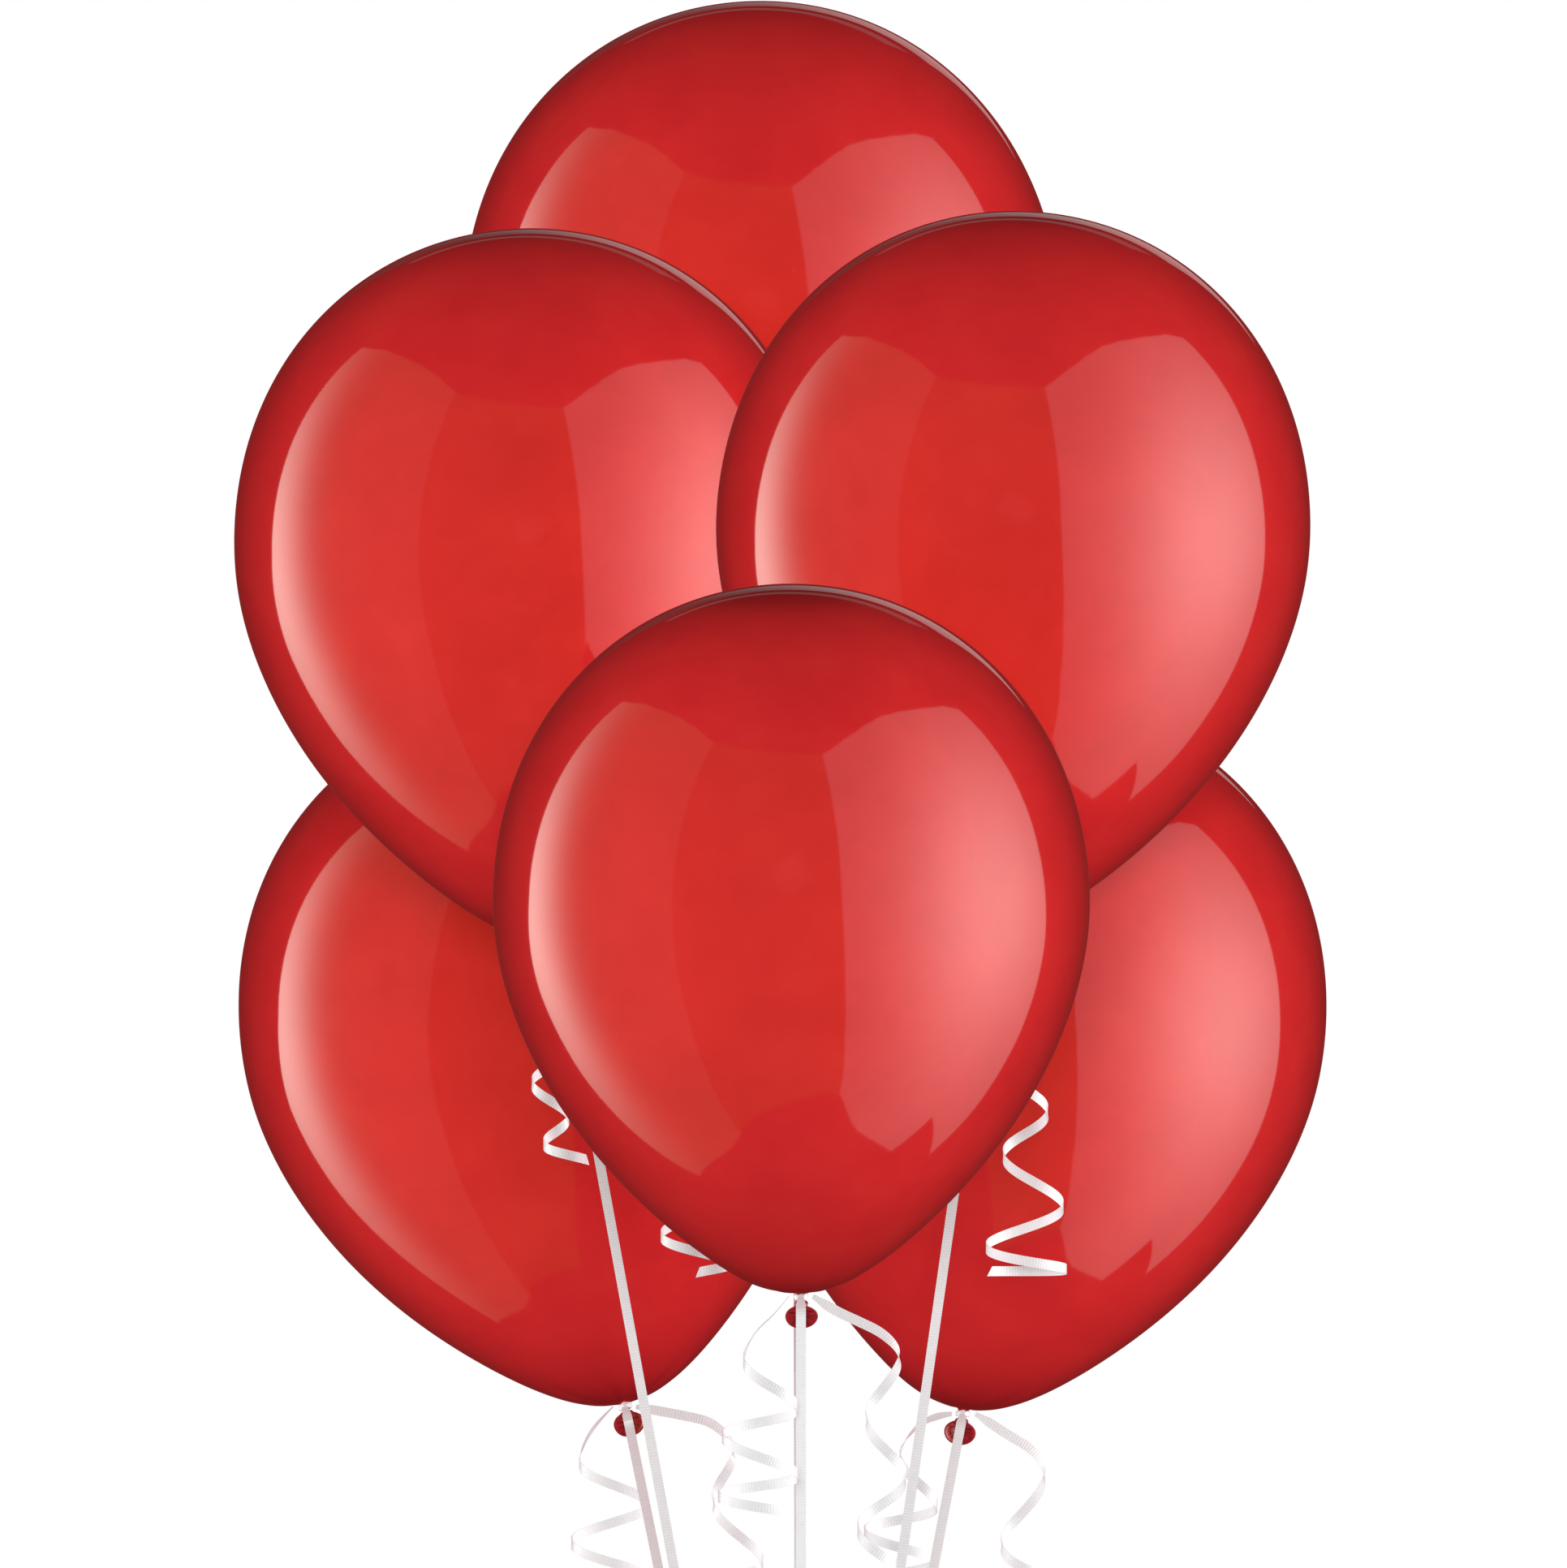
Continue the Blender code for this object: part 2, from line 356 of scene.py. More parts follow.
def add_mesh(name, points, faces, material, place=None, merge=1e-6, **values):
    """A smooth-shaded mesh object. values are one number a point, kept as attributes."""
    points = np.asarray(points, float)
    if place is not None:
        place = np.array(place)
        points = points @ place[:3, :3].T + place[:3, 3]
    mesh = bpy.data.meshes.new(name)
    mesh.from_pydata(points.tolist(), [], faces)
    for key, numbers in values.items():
        layer = mesh.attributes.new(key, "FLOAT", "POINT")
        layer.data.foreach_set("value", np.asarray(numbers, np.float32).ravel())
    thing = bpy.data.objects.new(name, mesh)
    bpy.context.scene.collection.objects.link(thing)
    work = bmesh.new()
    work.from_mesh(mesh)
    bmesh.ops.remove_doubles(work, verts=work.verts, dist=merge)
    bmesh.ops.recalc_face_normals(work, faces=work.faces)
    work.to_mesh(mesh)
    work.free()
    mesh.shade_smooth()
    mesh.materials.append(material)
    thing.visible_glossy = False
    return thing


def ring_faces(rings, steps, start=0, closed=False):
    """Quads between rings of steps points each. closed joins the last ring to the first."""
    faces = []
    for i in range(rings if closed else rings - 1):
        here = start + i * steps
        there = start + (i + 1) % rings * steps
        for j in range(steps):
            k = (j + 1) % steps
            faces.append((here + j, here + k, there + k, there + j))
    return faces


def smooth_route(points, steps):
    """A smooth curve through the points, with steps places on each stretch."""
    points = [np.asarray(p, float) for p in points]
    ends = [2 * points[0] - points[1], *points, 2 * points[-1] - points[-2]]
    route = []
    for before, here, there, after in zip(ends, ends[1:], ends[2:], ends[3:]):
        for t in np.arange(steps) / steps:
            route.append(
                0.5
                * (
                    2 * here
                    + (there - before) * t
                    + (2 * before - 5 * here + 4 * there - after) * t * t
                    + (3 * here - before - 3 * there + after) * t**3
                )
            )
    return np.array([*route, points[-1]])


def unit(vectors):
    return vectors / np.maximum(np.linalg.norm(vectors, axis=-1, keepdims=True), 1e-12)


def run_along(path):
    """How far each point of the path is from its start, along the path."""
    return np.concatenate([[0.0], np.cumsum(np.linalg.norm(np.diff(path, axis=0), axis=1))])


def path_length(path):
    return float(np.linalg.norm(np.diff(path, axis=0), axis=1).sum())


def smoothstep(low, high, x):
    t = np.clip((x - low) / (high - low), 0.0, 1.0)
    return t * t * (3 - 2 * t)


# ---------------------------------------------------------------- materials


def new_material(name):
    material = bpy.data.materials.new(name)
    material.use_nodes = True
    tree = material.node_tree
    return material, tree, tree.nodes["Principled BSDF"]


def add_node(tree, kind, settings=None, **inputs):
    """A node with its settings and its inputs, which are numbers, colours or other sockets.
    An input is given by its name, or as i0, i1 and so on by its place."""
    node = tree.nodes.new(kind)
    for key, value in (settings or {}).items():
        setattr(node, key, value)
    for key, value in inputs.items():
        by_place = key[0] == "i" and key[1:].isdigit()
        socket = node.inputs[int(key[1:]) if by_place else key]
        if isinstance(value, bpy.types.NodeSocket):
            tree.links.new(value, socket)
        else:
            socket.default_value = value
    return node


def mix_colour(tree, share, first, second, blend="MIX"):
    node = add_node(tree, "ShaderNodeMix", {"data_type": "RGBA", "blend_type": blend})
    for index, value in ((0, share), (6, first), (7, second)):
        if isinstance(value, bpy.types.NodeSocket):
            tree.links.new(value, node.inputs[index])
        else:
            node.inputs[index].default_value = value
    return node.outputs[2]


def ramp(tree, source, stops):
    node = add_node(tree, "ShaderNodeValToRGB", i0=source)
    elements = node.color_ramp.elements
    for i, (place, colour) in enumerate(stops):
        element = elements[i] if i < 2 else elements.new(place)
        element.position = place
        element.color = colour
    return node.outputs[0]


def latex_material():
    """Stretched latex: glossy, a little darker where the skin is thick, with faint mottling."""
    material, tree, shader = new_material("stretched_latex")
    spot = add_node(tree, "ShaderNodeTexCoord").outputs["Object"]
    thick = add_node(tree, "ShaderNodeAttribute", {"attribute_name": "thick"}).outputs["Fac"]
    mottle = add_node(tree, "ShaderNodeTexNoise", Vector=spot, Scale=26.0, Detail=4.0, Roughness=0.6)
    clouds = ramp(
        tree,
        mottle.outputs["Fac"],
        (
            (0.30, (0.765, 0.0235, 0.0265, 1)),
            (0.55, (0.820, 0.0275, 0.0295, 1)),
            (0.75, (0.850, 0.0330, 0.0310, 1)),
        ),
    )
    skin = mix_colour(tree, thick, clouds, (0.40, 0.009, 0.014, 1))
    tree.links.new(skin, shader.inputs["Base Color"])
    pores = add_node(tree, "ShaderNodeTexVoronoi", Vector=spot, Scale=95.0)
    speck = ramp(
        tree, pores.outputs["Distance"], ((0.0, (1, 1, 1, 1)), (0.045, (0, 0, 0, 1)))
    )
    rare = add_node(tree, "ShaderNodeTexNoise", Vector=spot, Scale=19.0, Detail=0.0)
    few = ramp(tree, rare.outputs["Fac"], ((0.66, (0, 0, 0, 1)), (0.70, (1, 1, 1, 1))))
    marks = mix_colour(tree, 1.0, speck, few, "MULTIPLY")
    bump = add_node(tree, "ShaderNodeBump", Height=marks, Strength=0.35, Distance=0.0003)
    tree.links.new(bump.outputs["Normal"], shader.inputs["Normal"])
    shader.inputs["Roughness"].default_value = 0.055
    shader.inputs["IOR"].default_value = 1.63
    shader.inputs["Coat Weight"].default_value = 1.0
    shader.inputs["Coat Roughness"].default_value = 0.03
    shader.inputs["Coat IOR"].default_value = 1.05
    shader.inputs["Coat Tint"].default_value = (0.72, 0.72, 0.72, 1.0)
    return material


def thick_latex_material():
    """Unstretched latex of knots and mouths: darker, satin, finely creased, with painted shade in
    the knot's grooves and the mouth's folds and throat.
    """
    material, tree, shader = new_material("thick_latex")
    spot = add_node(tree, "ShaderNodeTexCoord").outputs["Object"]
    crease = add_node(tree, "ShaderNodeTexNoise", Vector=spot, Scale=420.0, Detail=3.0)
    fold = add_node(tree, "ShaderNodeAttribute", {"attribute_name": "fold"}).outputs["Fac"]
    shade = ramp(
        tree,
        crease.outputs["Fac"],
        ((0.3, (0.17, 0.006, 0.010, 1)), (0.7, (0.30, 0.010, 0.015, 1))),
    )
    # Painted shade: the colour goes towards near black where the fold attribute marks the knot's
    # grooves and the mouth's folds and throat.
    colour = mix_colour(tree, fold, shade, (0.05, 0.002, 0.004, 1))
    tree.links.new(colour, shader.inputs["Base Color"])
    bump = add_node(
        tree, "ShaderNodeBump", Height=crease.outputs["Fac"], Strength=0.25, Distance=0.0003
    )
    tree.links.new(bump.outputs["Normal"], shader.inputs["Normal"])
    shader.inputs["Roughness"].default_value = 0.26
    shader.inputs["IOR"].default_value = 1.52
    return material


def ribbon_material():
    """Curling ribbon: white satin film with fine ribs across it."""
    material, tree, shader = new_material("curling_ribbon")
    along = add_node(tree, "ShaderNodeAttribute", {"attribute_name": "along"}).outputs["Fac"]
    spot = add_node(tree, "ShaderNodeTexCoord").outputs["Object"]
    pitch = 2 * math.pi / RIB_SPACING
    phase = add_node(tree, "ShaderNodeMath", {"operation": "MULTIPLY"}, i0=along, i1=pitch)
    wave = add_node(tree, "ShaderNodeMath", {"operation": "SINE"}, i0=phase.outputs[0])
    cloud = add_node(tree, "ShaderNodeTexNoise", Vector=spot, Scale=160.0, Detail=2.0)
    height = add_node(
        tree,
        "ShaderNodeMath",
        {"operation": "MULTIPLY_ADD"},
        i0=wave.outputs[0],
        i1=0.5,
        i2=cloud.outputs["Fac"],
    )
    shade = ramp(
        tree,
        height.outputs[0],
        ((0.0, (0.68, 0.685, 0.70, 1)), (1.0, (0.76, 0.765, 0.775, 1))),
    )
    tree.links.new(shade, shader.inputs["Base Color"])
    bump = add_node(
        tree, "ShaderNodeBump", Height=height.outputs[0], Strength=0.30, Distance=0.0002
    )
    tree.links.new(bump.outputs["Normal"], shader.inputs["Normal"])
    shader.inputs["Roughness"].default_value = 0.24
    shader.inputs["IOR"].default_value = 1.5
    return material


# ---------------------------------------------------------------- balloons


def skin_profile(radius):
    """The outer side of the skin, (radius, height) from the crown to the neck, foot at 0."""
    waist = BASE_HEIGHT * radius
    quarter = np.linspace(0.0, math.pi / 2, OUTLINE_STEPS, endpoint=False)
    share = np.cos(quarter)
    crown = (1 - share ** CROWN_POWERS[0]) ** CROWN_POWERS[1]
    crown[0] = 0.0
    drop = np.sin(quarter)
    base = (1 - drop ** BASE_POWERS[0]) ** (BASE_POWERS[1] - BASE_FULLNESS * drop**12)
    wide = np.concatenate([radius * crown, radius * base])
    high = np.concatenate([waist + CROWN_HEIGHT * radius * share, waist * (1 - drop)])
    keep = wide > 2.2 * NECK_RADIUS
    keep[0] = True
    neck = (
        (2.0 * NECK_RADIUS, 0.0009),
        (1.35 * NECK_RADIUS, 0.0001),
        (1.05 * NECK_RADIUS, -0.0006),
        (NECK_RADIUS, -NECK_LENGTH),
    )
    outline = np.concatenate([np.stack([wide[keep], high[keep]], 1), neck])
    return relaxed(outline)


def relaxed(outline):
    """The outline with even spacing, finer towards the neck, and its curvature evened out."""
    run = run_along(outline)
    fine = np.linspace(0.0, 1.0, SKIN_RINGS)
    places = run[-1] * (1 - (1 - fine) ** 1.25)
    line = np.stack([np.interp(places, run, outline[:, i]) for i in (0, 1)], 1)
    for _ in range(OUTLINE_PASSES):
        before = np.concatenate([line[1:2] * (-1, 1), line[:-2]])
        even = 0.25 * before + 0.5 * line[:-1] + 0.25 * line[1:]
        share = smoothstep(0.015, 0.060, line[:-1, 1:])
        line[:-1] += share * (even - line[:-1])
        line[0, 0] = 0.0
    return line


def add_skin(name, place, radius, material):
    """The inflated skin: a turned outline, pleated where it gathers into the neck."""
    line = np.concatenate([skin_profile(radius), [[0.0, -NECK_LENGTH - 0.0002]]])
    turn = np.linspace(0.0, 2 * math.pi, SKIN_STEPS, endpoint=False)
    wide, high = line[:, :1], line[:, 1:]
    near = np.clip(1 - high / PLEAT_HEIGHT, 0, 1) ** 2
    seed = sum(map(ord, name))
    pleat = np.cos(9 * turn + seed) + 0.6 * np.cos(14 * turn + 2 * seed)
    belly = np.sin(np.clip(high / (2.4 * radius), 0, 1) * math.pi)
    wide = wide * (1 + PLEAT_DEPTH * near * pleat)
    wide = wide * (1 + OUT_OF_ROUND * np.cos(2 * turn + seed) * belly)
    points = np.stack([wide * np.cos(turn), wide * np.sin(turn), high + 0 * turn], -1)
    below_crown = line[0, 1] - high
    at_foot = np.exp(-np.clip(high, 0, None) / (0.12 * radius))
    at_crown = 0.8 * np.exp(-((below_crown / (0.035 * radius)) ** 2))
    thick = np.clip(at_foot + at_crown + 0 * turn, 0, 1)
    skin = add_mesh(
        f"skin_{name}",
        points.reshape(-1, 3),
        ring_faces(len(line), SKIN_STEPS),
        material,
        place,
        thick=thick,
    )
    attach(skin, f"balloon_{name}")
    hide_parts(f"envelope_{name}")


def add_neck_knot(name, place, material):
    """The overhand knot in the neck, a bulge wound with slanting folds, with painted shade in its
    grooves.
    """
    steps, rings = 64, 40
    turn = np.linspace(0.0, 2 * math.pi, steps, endpoint=False)
    down = np.linspace(0.0, math.pi, rings)[:, None]
    groove = 0.5 + 0.5 * np.cos(3 * turn + KNOT_TWIST * down)
    wide = KNOT_RADIUS * np.sin(down) ** 0.75 * (1 - 0.17 * groove**3)
    high = -KNOT_TOP - KNOT_HEIGHT / 2 + 0.5 * KNOT_HEIGHT * np.cos(down) + 0 * turn
    points = np.stack([wide * np.cos(turn), wide * np.sin(turn), high], -1)
    knot = add_mesh(
        f"knotted_neck_{name}",
        points.reshape(-1, 3),
        ring_faces(rings, steps),
        material,
        place,
        # fold is painted shade, darkest in the recessed grooves between the folds.
        fold=0.8 * groove**4,
    )
    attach(knot, f"balloon_{name}")
    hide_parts(f"neck_knot_{name}")


# Rings of the mouth from its stalk to its throat: (share of the bend to the front, distance
# along it in front of the throat, half width as a share of the mouth's, depth of the folds)
MOUTH_RINGS = (
    (0.00, -0.0030, 0.20, 0.05),
    (0.10, -0.0012, 0.20, 0.06),
    (0.45, 0.0004, 0.26, 0.08),
    (0.80, 0.0016, 0.42, 0.09),
    (0.95, 0.0026, 0.66, 0.06),
    (1.00, 0.0034, 0.86, 0.03),
    (1.00, 0.0041, 0.955, 0.01),
    (1.00, 0.0045, 0.97, 0.00),
    (1.00, 0.0048, 0.950, 0.00),
    (1.00, 0.0049, 0.90, 0.00),
    (1.00, 0.0046, 0.845, 0.01),
    (1.00, 0.0041, 0.80, 0.03),
    (1.00, 0.0038, 0.70, 0.07),
    (1.00, 0.0036, 0.52, 0.10),
    (1.00, 0.0030, 0.34, 0.12),
    (1.00, 0.0022, 0.17, 0.12),
    (1.00, 0.0014, 0.05, 0.05),
)
MOUTH_FOLDS = 11
MOUTH_STEPS = 96


def add_mouth(name, place, material):
    """The flared mouth with its rolled lip, and folds that run into the throat; the folds and the
    throat carry painted shade.
    """
    throat = np.array((0.0, MOUTH_THROAT[0], -MOUTH_THROAT[1]))
    centre = np.array((0.0, MOUTH_CENTRE[0], -MOUTH_CENTRE[1]))
    outward = unit(centre - throat)
    down = np.array((0.0, 0.0, -1.0))
    across = np.array((1.0, 0.0, 0.0))
    rows = smooth_route(MOUTH_RINGS, 4)
    turn = np.linspace(0.0, 2 * math.pi, MOUTH_STEPS, endpoint=False)[:, None]
    wobble = 0.5 * np.sin(3 * turn + 1.0) + 0.3 * np.sin(5 * turn)
    fold = 0.5 + 0.5 * np.cos(MOUTH_FOLDS * turn + 2.2 * wobble)
    half = MOUTH_WIDTH / 2
    flat = MOUTH_HEIGHT / MOUTH_WIDTH
    rings, folds = [], []
    for bend, ahead, share, depth in rows:
        aim = unit((1 - bend) * down + bend * outward)
        tall = np.cross(aim, across)
        spread = 1 - (1 - flat) * np.clip(share * 1.6, 0, 1)
        size = share * half * (1 + 0.02 * wobble)
        middle = throat + aim * ahead + (1 - bend) * down * -0.0004
        middle = middle + np.array((0.0, 0.0, 0.0011)) * bend * (1 - share)
        ring = middle + size * (np.cos(turn) * across + spread * np.sin(turn) * tall)
        ring = ring - aim * depth * 0.9 * half * 0.12 * fold**2 * 4 * share
        rings.append(ring)
        # Painted shade: darker in the recessed folds and deep in the throat.
        throat_shade = 0.9 * (share < 0.2) * (bend > 0.9)
        folds.append(np.clip(depth * 8 * fold**3 + throat_shade, 0, 1)[:, 0])
    first, last = ([ring.mean(0)] * MOUTH_STEPS for ring in (rings[0], rings[-1]))
    mouth = add_mesh(
        f"rolled_mouth_{name}",
        np.concatenate([first, *rings, last]),
        ring_faces(len(rows) + 2, MOUTH_STEPS),
        material,
        place,
        # fold carries the painted shade, full at the closed inner end of the mouth.
        fold=np.concatenate([np.zeros(MOUTH_STEPS), *folds, np.ones(MOUTH_STEPS)]),
    )
    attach(mouth, f"balloon_{name}")
    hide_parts(f"mouth_{name}")


# ---------------------------------------------------------------- ribbon


def strip_points(path, wide, width, thickness, crown=0.06):
    """Rings of eight points round a flat ribbon whose width lies along wide at each place.
    crown is how far its middle bows out, in tenths of its width."""
    ahead = unit(np.gradient(path, axis=0))
    wide = unit(wide - (wide * ahead).sum(1, keepdims=True) * ahead)
    face = np.cross(ahead, wide)
    rings = []
    for lift, order in ((0.5, SIDES), (-0.5, SIDES[::-1])):
        for side in order:
            bow = crown * (1 - 4 * side * side)
            rings.append(
                path
                + wide * side * width[:, None]
                + face * (lift * thickness + bow * 0.1 * width[:, None])
            )
    return np.stack(rings, 1)


def strip_faces(count, start=0):
    """The faces of a ribbon of count rings, with its two cut ends."""
    size = len(BOTH_FACES)
    faces = ring_faces(count, size, start)
    last = start + size * (count - 1)
    for first, flip in ((start, False), (last, True)):
        for a, b, c, d in ((0, 1, 6, 7), (1, 2, 5, 6), (2, 3, 4, 5)):
            quad = tuple(first + i for i in (a, b, c, d))
            faces.append(quad[::-1] if flip else quad)
    return faces


def add_strip(name, path, wide, width, material, slant=0.0):
    """A ribbon along the path. slant is how far the cut end leans along the ribbon."""
    points = strip_points(path, wide, width, RIBBON_THICKNESS)
    ahead = unit(path[-1] - path[-2])
    for j, side in enumerate(BOTH_FACES):
        points[-1, j] += ahead * slant * (side + 0.5)
    along = np.repeat(run_along(path), len(BOTH_FACES))
    thing = add_mesh(
        name, points.reshape(-1, 3), strip_faces(len(path)), material, merge=1e-7, along=along
    )
    thing.data.set_sharp_from_angle(angle=SHARP_EDGE)
    return thing


def add_lead(name, foot, material):
    """The straight ribbon from the loop, past the mouth, down into the gather knot."""
    foot = np.array(foot)
    up = unit(np.array((foot[0], 0.0, foot[2])))
    front = np.array((0.0, -1.0, 0.0))
    across = np.cross(up, front)
    past = [foot + front * ahead - up * drop for ahead, drop in RIBBON_PAST_MOUTH]
    end = unit(past[-1]) * LEAD_END
    middle = [past[-1] + (end - past[-1]) * share for share in (0.15, 0.4, 0.7)]
    path = even_rows(smooth_route([*past, *middle, end], 24), LEAD_STEP)
    total = path_length(path)
    run = np.linspace(0, total, len(path))
    width = RIBBON_WIDTH * (0.55 + 0.45 * smoothstep(0.0, 0.006, run))
    width = width * (1 - 0.35 * smoothstep(total - 0.03, total, run))
    wide = np.repeat(across[None], len(path), 0)
    lead = add_strip(f"ribbon_lead_{name}", path, wide, width, material)
    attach(lead, f"ribbon_{name}")
    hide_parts(f"lead_{name}")


def eased(values, u):
    """A smooth run through values that stand at 0, 1, 2 and so on."""
    values = np.asarray(values, float)
    slopes = np.gradient(values)
    k = np.clip(np.floor(u).astype(int), 0, len(values) - 2)
    t = u - k
    first, last = values[k], values[k + 1]
    ease = t * t * (3 - 2 * t)
    rise = t * (1 - t) ** 2 * slopes[k] - t * t * (1 - t) * slopes[k + 1]
    return first + (last - first) * ease + rise


def even_rows(rows, gap):
    """The rows at even steps along the path that their first three columns make."""
    run = run_along(rows[:, :3])
    places = np.linspace(0.0, run[-1], max(3, int(run[-1] / gap)))
    return np.stack([np.interp(places, run, column) for column in rows.T], 1)


def tail_rows(side, tail):
    """Rows of (x, y, z, angle of the ribbon's face, depth share) down the tail, from the foot:
    the way to the curl, which runs smoothly into it, and the curl."""
    bends = np.array(tail["bends"])
    halves = len(bends) - 1
    u = np.arange(0.0, halves - CURL_CUT + 1e-6, 1 / 8)
    k = np.clip(np.floor(u).astype(int), 0, halves - 1)
    swing = np.cos(math.pi * (u - k))
    x = 0.5 * (bends[k, 0] + bends[k + 1, 0]) + 0.5 * (bends[k, 0] - bends[k + 1, 0]) * swing
    half = 0.5 * np.abs(np.diff(bends[:, 0]))
    share = np.interp(u / halves, (0.0, 1.0), tail["depth"])
    start_angle = 0.0 if bends[0, 0] > bends[1, 0] else math.pi
    angle = start_angle + math.pi * u
    y = tail["back"] + share * np.interp(u, np.arange(halves) + 0.5, half) * np.sin(angle)
    curl = np.stack([x, y, -eased(bends[:, 1], u), angle, share], 1)
    begin = math.copysign(LOOP_OUTER + 0.0022, 1.0 if side == "right" else -1.0)
    way = [(begin, 0.0022), *tail["way"]]
    turned = 0.0 if tail["edge_on"] else math.pi / 2
    before = []
    for i, (across, drop) in enumerate(way):
        part = i / len(way)
        level = -0.0016 + (tail["back"] + 0.0016) * part**1.5
        face = start_angle - turned * (1 - part**2)
        before.append((across, level, -drop, face, share[0]))
    slope = (curl[1] - curl[0]) / np.linalg.norm((curl[1] - curl[0])[:3])
    reach = np.linalg.norm((curl[0] - before[-1])[:3])
    beyond = before[-1] + 2 * reach * slope
    steps = 24
    lead_in = smooth_route([*before, curl[0], beyond], steps)[: steps * len(before) + 1]
    return smooth_route([*even_rows(lead_in, 0.004)[:-1], *curl], 12)


def tail_path(foot, side, tail):
    """(points along the tail, directions of the ribbon's width there), with no tight bend."""
    rows = even_rows(tail_rows(side, tail), TAIL_STEP)
    for _ in range(TAIL_PASSES):
        rows[1:-1] = 0.25 * rows[:-2] + 0.5 * rows[1:-1] + 0.25 * rows[2:]
    path = rows[:, :3] + np.array(foot)
    angle, share = rows[:, 3], rows[:, 4]
    face = unit(np.stack([share * np.cos(angle), np.sin(angle), 0 * angle], 1))
    ahead = unit(np.gradient(path, axis=0))
    return path, unit(np.cross(ahead, face))


def add_tail(name, side, foot, material):
    """A curled tail, which hangs from the loop and ends in a slanting cut."""
    path, wide = tail_path(foot, side, TAILS[name][side])
    run = np.linspace(0.0, path_length(path), len(path))
    width = RIBBON_WIDTH * (0.5 + 0.5 * smoothstep(0.0, 0.010, run))
    curl = add_strip(f"curl_{side}_{name}", path, wide, width, material, slant=TAIL_SLANT)
    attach(curl, f"ribbon_{name}")
    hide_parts(f"tail_{side}_{name}")


def add_loop(name, place, material):
    """Two turns of bunched ribbon round the neck, and the knot in front that holds them."""
    steps, section = 96, 24
    turn = np.linspace(0.0, 2 * math.pi, steps, endpoint=False)[:, None]
    around = np.linspace(0.0, 2 * math.pi, section, endpoint=False)[None]
    middle = -(LOOP_TOP + LOOP_BOTTOM) / 2
    thick = (LOOP_OUTER - LOOP_INNER) / 2
    tall = (LOOP_BOTTOM - LOOP_TOP) / 2
    pleats = 1 + 0.10 * np.cos(6 * around + 1.5 * np.sin(2 * turn))
    waist = 1 - 0.18 * np.exp(-((np.sin(around) / 0.25) ** 2)) * (np.cos(around) > 0)
    reach = (LOOP_INNER + LOOP_OUTER) / 2 + thick * np.cos(around) * pleats * waist
    high = middle + tall * np.sin(around) * (1 - 0.06 * np.cos(5 * turn)) + 0.0003 * np.sin(turn)
    ring = np.stack([reach * np.sin(turn), -reach * np.cos(turn), high + 0 * turn], -1)
    rows, columns = 28, 40
    down = np.linspace(0.0, math.pi, rows)[:, None]
    side = np.linspace(0.0, 2 * math.pi, columns, endpoint=False)[None]
    fold = 1 - 0.16 * (0.5 + 0.5 * np.cos(2 * side + 3.0 * down)) ** 4
    size = LOOP_KNOT_RADIUS * fold
    knot = np.stack(
        [
            size * np.sin(down) * np.cos(side),
            size * 0.8 * np.sin(down) * np.sin(side) - LOOP_KNOT_FRONT,
            size * 0.9 * np.cos(down) + middle + 0 * side,
        ],
        -1,
    )
    faces = ring_faces(steps, section, closed=True)
    faces += ring_faces(rows, columns, steps * section)
    points = np.concatenate([ring.reshape(-1, 3), knot.reshape(-1, 3)])
    along = np.concatenate(
        [np.repeat(turn[:, 0] * 0.003, section), np.repeat(down[:, 0] * 0.002, columns)]
    )
    loop = add_mesh(f"wound_loop_{name}", points, faces, material, place, along=along)
    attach(loop, f"ribbon_{name}")
    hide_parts(f"ribbon_loop_{name}")


def add_gather(material):
    """The overhand knot in the six ribbons, and their six cut ends below it."""
    steps, section = 260, 42
    t = np.linspace(0.0, 2 * math.pi, steps, endpoint=False)
    scale = GATHER_RADIUS / 3.9
    line = scale * np.stack(
        [
            np.sin(t) + 2 * np.sin(2 * t),
            np.cos(t) - 2 * np.cos(2 * t),
            -1.9 * np.sin(3 * t),
        ],
        1,
    )
    ahead = unit(np.roll(line, -1, 0) - np.roll(line, 1, 0))
    away = unit(line - line.mean(0))
    aside = unit(np.cross(ahead, away))
    away = np.cross(aside, ahead)
    around = np.linspace(0.0, 2 * math.pi, section, endpoint=False)
    strands = GATHER_STRANDS * (around[None] + t[:, None])
    thick = 0.92 * scale * (1 - 0.16 * (0.5 + 0.5 * np.cos(strands)) ** 3)
    ring = line[:, None] + thick[..., None] * (
        np.cos(around)[None, :, None] * away[:, None]
        + np.sin(around)[None, :, None] * aside[:, None]
    )
    core, core_faces, core_along = gather_core(steps * section)
    points = np.concatenate([ring.reshape(-1, 3), core])
    faces = ring_faces(steps, section, closed=True) + core_faces
    along = np.concatenate([np.repeat(t * 0.012, section), core_along])
    knot = add_mesh("tied_gather", points, faces, material, along=along)
    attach(knot, "gather")
    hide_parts("gather_knot")
    add_cut_ends(material)


def gather_core(start):
    """Points, faces and run of the bundle of ribbons inside the gather knot, closed at both
    ends. start is the number of its first point."""
    rows, columns = 24, 48
    down = np.linspace(0.0, math.pi, rows)[:, None]
    side = np.linspace(0.0, 2 * math.pi, columns, endpoint=False)[None]
    wide = 0.55 * GATHER_RADIUS * np.sin(down) ** 0.6 * (1 - 0.1 * np.cos(6 * side + 2 * down))
    high = 0.5 * GATHER_HEIGHT * np.cos(down) + 0 * side
    core = np.stack([wide * np.cos(side), wide * np.sin(side), high], -1).reshape(-1, 3)
    return core, ring_faces(rows, columns, start), np.repeat(down[:, 0] * 0.01, columns)


